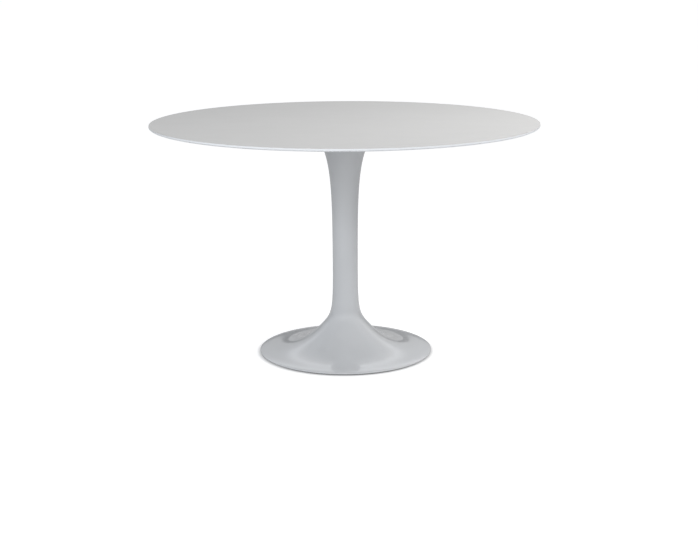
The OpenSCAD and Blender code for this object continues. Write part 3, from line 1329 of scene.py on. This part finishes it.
@dataclass
class Underside:
    """The rubber foot ring, the bottom cover, its screws and its access plug.

    Attributes:
        access: Radius of the cover's access hole.
        width: Width of the foot ring.
        gap: Height of the foot ring below the rim.
        rib: Half the width of the rib that locates it.
        tread: Half the width and the depth of the grooves in its tread.
        tread_spacing: How far apart they are.
        screw_hole: Radius of the cover's screw holes.
        screw_places: Where the cover's screws are.
        play: Gap round the plug in the access hole.
        bead: How far the plug's snap bead stands out.
        dish: Depth of the plug's dish, and how far in its slope starts and ends.
        plug_wall: Thickness of the plug's wall.
    """

    foot: Span = measured("foot_ring")
    cover: Span = measured("bottom_cover")
    plug: Span = measured("access_plug")
    access: float = 50 * MM
    width: float = 16 * MM
    gap: float = 3 * MM
    rib: float = 1.9 * MM
    tread: Point = (0.6 * MM, 1.0 * MM)
    tread_spacing: float = 4 * MM
    screw_hole: float = 2.75 * MM
    screw_places: list[Matrix] = field(default_factory=lambda: ring_of(4, 160 * MM, 45))
    play: float = 0.1 * MM
    bead: float = 0.8 * MM
    dish: Corner = (0.4 * MM, 10 * MM, 12 * MM)
    plug_wall: float = 2 * MM

    def build(self, paint: Paintbox) -> None:
        """Makes the pieces under the foot.

        Args:
            paint: The finishes.
        """
        paint.dress("rubber_foot_ring", self.foot_mesh(), "foot_rubber", "foot_ring")
        paint.dress("moulded_cover", self.cover_mesh(), "cover_plastic", "bottom_cover")
        screw = Screw(
            self.cover.low,
            radius=2.5 * MM,
            length=8 * MM,
            head_radius=4.5 * MM,
            head_height=1.8 * MM,
            pitch=0.8 * MM,
        )
        screws = joined(screw.meshes(), self.screw_places)
        paint.dress("cover_screw_set", screws, "zinc_steel", "cover_screws")
        paint.dress("access_cap", self.plug_mesh(), "cover_plastic", "access_plug")

    def foot_mesh(self) -> bpy.types.Mesh:
        """The foot ring, with tread grooves below and a locating rib above."""
        outer = self.foot.radius
        inner = outer - self.width
        middle = (inner + outer) / 2
        rib = self.rib
        groove, tread = self.tread
        corners: list[Corner] = [(inner, 0, 0.5 * MM)]
        for place in (-1, 0, 1):
            here = middle + place * self.tread_spacing
            for across, level in ((-groove, 0), (-groove / 2, tread), (groove / 2, tread), (groove, 0)):
                corners.append((here + across, level, 0.15 * MM))
        corners += [
            (outer, 0, 0.5 * MM),
            (outer, self.gap, 0.2 * MM),
            (middle + rib, self.gap, 0),
            (middle + rib, self.foot.high, 0.3 * MM),
            (middle - rib, self.foot.high, 0.3 * MM),
            (middle - rib, self.gap, 0),
            (inner, self.gap, 0.2 * MM),
        ]
        return turned(rounded(corners, closed=True, steps=3), 288)

    def cover_mesh(self) -> bpy.types.Mesh:
        """The cover, with its access hole and screw holes."""
        disc = turned(self.cover.section(self.access, 0.35 * MM), 256)
        drill = holes(self.screw_hole, self.cover.low - MM, self.cover.high + MM, self.screw_places)
        return shaped(disc, drill, Cut.AWAY)

    def plug_mesh(self) -> bpy.types.Mesh:
        """The plug: a lipped cap with a snap bead and a shallow dish."""
        low, high = self.plug.low, self.plug.high
        sheet = self.cover.low
        outside = self.access - self.play
        inside = outside - self.plug_wall
        dish, start, end = self.dish
        corners = [
            (0, low + dish, 0),
            (self.access - end, low + dish, 0.4 * MM),
            (self.access - start, low, 0.4 * MM),
            (self.plug.radius, low, 0.5 * MM),
            (self.plug.radius, sheet, 0.2 * MM),
            (outside, sheet, 0),
            (outside, self.cover.high, 0),
            (self.access + self.bead, self.cover.high + 0.2 * MM, 0.1 * MM),
            (outside, high, 0.2 * MM),
            (inside, high, 0.3 * MM),
            (inside, sheet + 0.2 * MM, 0.5 * MM),
            (0, sheet + 0.2 * MM, 0),
        ]
        return turned(rounded(corners, steps=3), 128)


# ---- studio --------------------------------------------------------------------------


@dataclass
class Studio:
    """A plain pale floor with a painted contact shadow round the foot, soft lights, a dark screen and the
    camera.

    Attributes:
        eye: Where the camera is.
        pitch: How far it looks down, in radians.
        yaw: How far it looks towards +X, in radians.
        roll: How far it leans, in radians.
        lens: Its focal length in millimetres on a 36 mm sensor.
        world: Strength of the light from all round.
        floor_reach: How far the floor reaches on every side.
        floor_shade: How light the floor is, in linear light.
        glow: How much the floor is lifted towards white where it is seen directly.
        foot: Radius of the painted contact shadow where the foot meets the floor, inside which the floor's
            lift is cut back.
        painted_shadow_edge: How wide that painted shadow's soft edge is, and how much lift is left inside it.
        screen: Radius of the dark screen.
        screen_low: Height of the dark screen's lower edge.
        screen_height: How tall the dark screen is.
        screen_fade: How much of that height its soft upper edge takes.
    """

    eye: tuple[float, float, float] = (-0.0249, -4.0697, 1.2246)
    pitch: float = 0.22975
    yaw: float = 0.00901
    roll: float = 0.00468
    lens: float = 67.98
    world: float = 0.75
    floor_reach: float = 150.0
    floor_shade: float = 0.62
    glow: float = 0.60
    foot: float = 0.272
    painted_shadow_edge: Point = (0.014, 0.35)
    screen: float = 6.0
    screen_low: float = 0.84
    screen_height: float = 0.46
    screen_fade: float = 0.14

    def build(self) -> None:
        """Makes the floor, the lights and the camera."""
        self.floor()
        self.low_wall()
        self.sky()
        self.soft_box("key", (1.5, -0.1, 2.1), (0.0, 0.0, 0.73), (1.6, 1.6), 25.0, (1.0, 0.99, 0.98))
        self.soft_box("front", (-1.9, -4.2, 2.3), (0.0, 0.0, 0.5), (3.0, 1.8), 50.0, (0.98, 0.99, 1.0))
        self.soft_box("low", (-0.5, -4.3, 0.68), (0.0, 0.0, 0.66), (2.6, 0.6), 30.0, (0.99, 1.0, 1.0))
        self.camera()

    def floor(self) -> None:
        """A wide pale floor, lifted towards white where it is seen directly, with a painted contact shadow
        round the foot where that lift is cut back.
        """
        form = bmesh.new()
        bmesh.ops.create_grid(form, x_segments=1, y_segments=1, size=self.floor_reach)
        cloth = placed("studio_floor", mesh_from(form))
        made, sheet, shader = blank("studio_floor")
        shader.inputs["Base Color"].default_value = (*[self.floor_shade] * 3, 1.0)
        shader.inputs["Roughness"].default_value = 0.9
        shader.inputs["Specular IOR Level"].default_value = 0.0
        shader.inputs["Emission Color"].default_value = (1.0, 1.0, 1.0, 1.0)
        away = sheet.add("VectorMath", {0: sheet.place()}, operation="LENGTH")
        # Painted contact shadow: inside the foot's radius the floor's lift drops to a share of itself, over a
        # soft edge.
        soft, left = self.painted_shadow_edge
        painted_foot_shadow = sheet.ramp(away.outputs["Value"], self.foot, self.foot + soft, left)
        seen = sheet.math("MULTIPLY", sheet.add("LightPath").outputs["Is Camera Ray"], self.glow)
        made.node_tree.links.new(sheet.math("MULTIPLY", painted_foot_shadow, seen), shader.inputs["Emission Strength"])
        self.clear_where(sheet, sheet.add("NewGeometry").outputs["Backfacing"], shader)
        cloth.data.materials.append(made)

    @staticmethod
    def clear_where(sheet: Sheet, mask: bpy.types.NodeSocket, shader: bpy.types.Node) -> None:
        """Makes a material clear where a mask is 1.

        Args:
            sheet: The material's sheet.
            mask: The mask's socket.
            shader: The material's shader.
        """
        clear = sheet.add("BsdfTransparent")
        both = sheet.add("MixShader", {0: mask, 1: shader.outputs[0], 2: clear.outputs[0]})
        sheet.tree.links.new(both.outputs[0], sheet.tree.nodes["Material Output"].inputs[0])

    def low_wall(self) -> None:
        """A low dark screen far round the table, which only gloss picks up."""
        form = bmesh.new()
        base = Matrix.Translation((0, 0, self.screen_low))
        bmesh.ops.create_circle(form, segments=96, radius=self.screen, matrix=base)
        low = form.edges[:]
        raised = bmesh.ops.extrude_edge_only(form, edges=low)["geom"]
        upper = [item for item in raised if isinstance(item, bmesh.types.BMVert)]
        bmesh.ops.translate(form, verts=upper, vec=(0, 0, self.screen_height))
        screen = placed("dark_screen", mesh_from(form))
        made, sheet, shader = blank("dark_screen")
        shader.inputs["Base Color"].default_value = (0.05, 0.047, 0.044, 1.0)
        upright = sheet.add("SeparateXYZ", {0: sheet.place()}).outputs["Z"]
        top = self.screen_low + self.screen_height
        self.clear_where(sheet, sheet.ramp(upright, top - self.screen_fade, top), shader)
        screen.data.materials.append(made)
        screen.visible_camera = False
        screen.visible_diffuse = False
        screen.visible_shadow = False

    def sky(self) -> None:
        """Soft light from all round: dimmer at the horizon, and cooler on the left."""
        world = bpy.data.worlds.new("studio")
        bpy.context.scene.world = world
        world.use_nodes = True
        sheet = Sheet(world.node_tree)
        back = world.node_tree.nodes["Background"]
        way = sheet.add("SeparateXYZ", {0: sheet.add("TexCoord").outputs["Generated"]})
        height = sheet.add("ValToRGB", {0: way.outputs["Z"]})
        ramp = height.color_ramp
        stops = (
            (0.0, (0.55, 0.55, 0.55)),
            (0.06, (0.62, 0.62, 0.62)),
            (0.20, (0.76, 0.76, 0.76)),
            (0.37, (0.85, 0.86, 0.87)),
            (0.46, (1.7, 1.72, 1.75)),
            (0.53, (1.2, 1.2, 1.2)),
            (0.62, (0.85, 0.86, 0.87)),
            (1.0, (0.75, 0.76, 0.77)),
        )
        while len(ramp.elements) < len(stops):
            ramp.elements.new(0.5)
        for stop, (place, colour) in zip(ramp.elements, stops):
            stop.position = place
            stop.color = (*colour, 1.0)
        side = sheet.ramp(way.outputs["X"], -0.8, 0.8)
        left, right = (0.90, 0.92, 0.95, 1.0), (1.05, 1.04, 1.03, 1.0)
        tint = sheet.add("Mix", {0: side, 6: left, 7: right}, data_type="RGBA")
        both = sheet.add("VectorMath", {0: height.outputs["Color"], 1: tint.outputs[2]}, operation="MULTIPLY")
        world.node_tree.links.new(both.outputs[0], back.inputs["Color"])
        back.inputs["Strength"].default_value = self.world

    def soft_box(
        self,
        name: str,
        place: Sequence[float],
        aim: Sequence[float],
        size: Point,
        power: float,
        tint: Sequence[float],
    ) -> None:
        """One soft box.

        Args:
            name: The light's name.
            place: Where it is.
            aim: What it points at.
            size: Its width and height.
            power: Its power in watts.
            tint: Its colour.
        """
        light = bpy.data.lights.new(name, "AREA")
        light.shape = "RECTANGLE"
        light.size, light.size_y = size
        light.energy = power
        light.color = tint
        lamp = bpy.data.objects.new(name, light)
        lamp.visible_camera = False
        lamp.visible_glossy = False
        way = Vector(aim) - Vector(place)
        turn = way.to_track_quat("-Z", "Y").to_matrix().to_4x4()
        lamp.matrix_world = Matrix.Translation(place) @ turn
        bpy.context.scene.collection.objects.link(lamp)

    def camera(self) -> None:
        """The camera, with a plain tone curve."""
        sp, cp = math.sin(self.pitch), math.cos(self.pitch)
        sy, cy = math.sin(self.yaw), math.cos(self.yaw)
        forward = Vector((sy * cp, cy * cp, -sp))
        level = Vector((cy, -sy, 0.0))
        upright = level.cross(forward)
        sr, cr = math.sin(self.roll), math.cos(self.roll)
        right = level * cr - upright * sr
        up = level * sr + upright * cr
        view = Matrix((right, up, -forward)).transposed().to_4x4()
        data = bpy.data.cameras.new("camera")
        data.sensor_fit = "HORIZONTAL"
        data.sensor_width = 36.0
        data.lens = self.lens
        seen = bpy.data.objects.new("camera", data)
        seen.matrix_world = Matrix.Translation(self.eye) @ view
        scene = bpy.context.scene
        scene.collection.objects.link(seen)
        scene.camera = seen
        scene.view_settings.view_transform = "Standard"


def main() -> None:
    """Builds the table and its studio, in order."""
    logging.basicConfig(level=logging.INFO, format="%(name)s %(message)s")
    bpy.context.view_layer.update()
    paint = Paintbox()
    pedestal = Pedestal()
    Top().build(paint)
    Plate().build(paint)
    pedestal.build(paint)
    Clamp().build(paint)
    Ballast().build(paint, pedestal)
    Underside().build(paint)
    Studio().build()


if __name__ == "__main__":
    main()
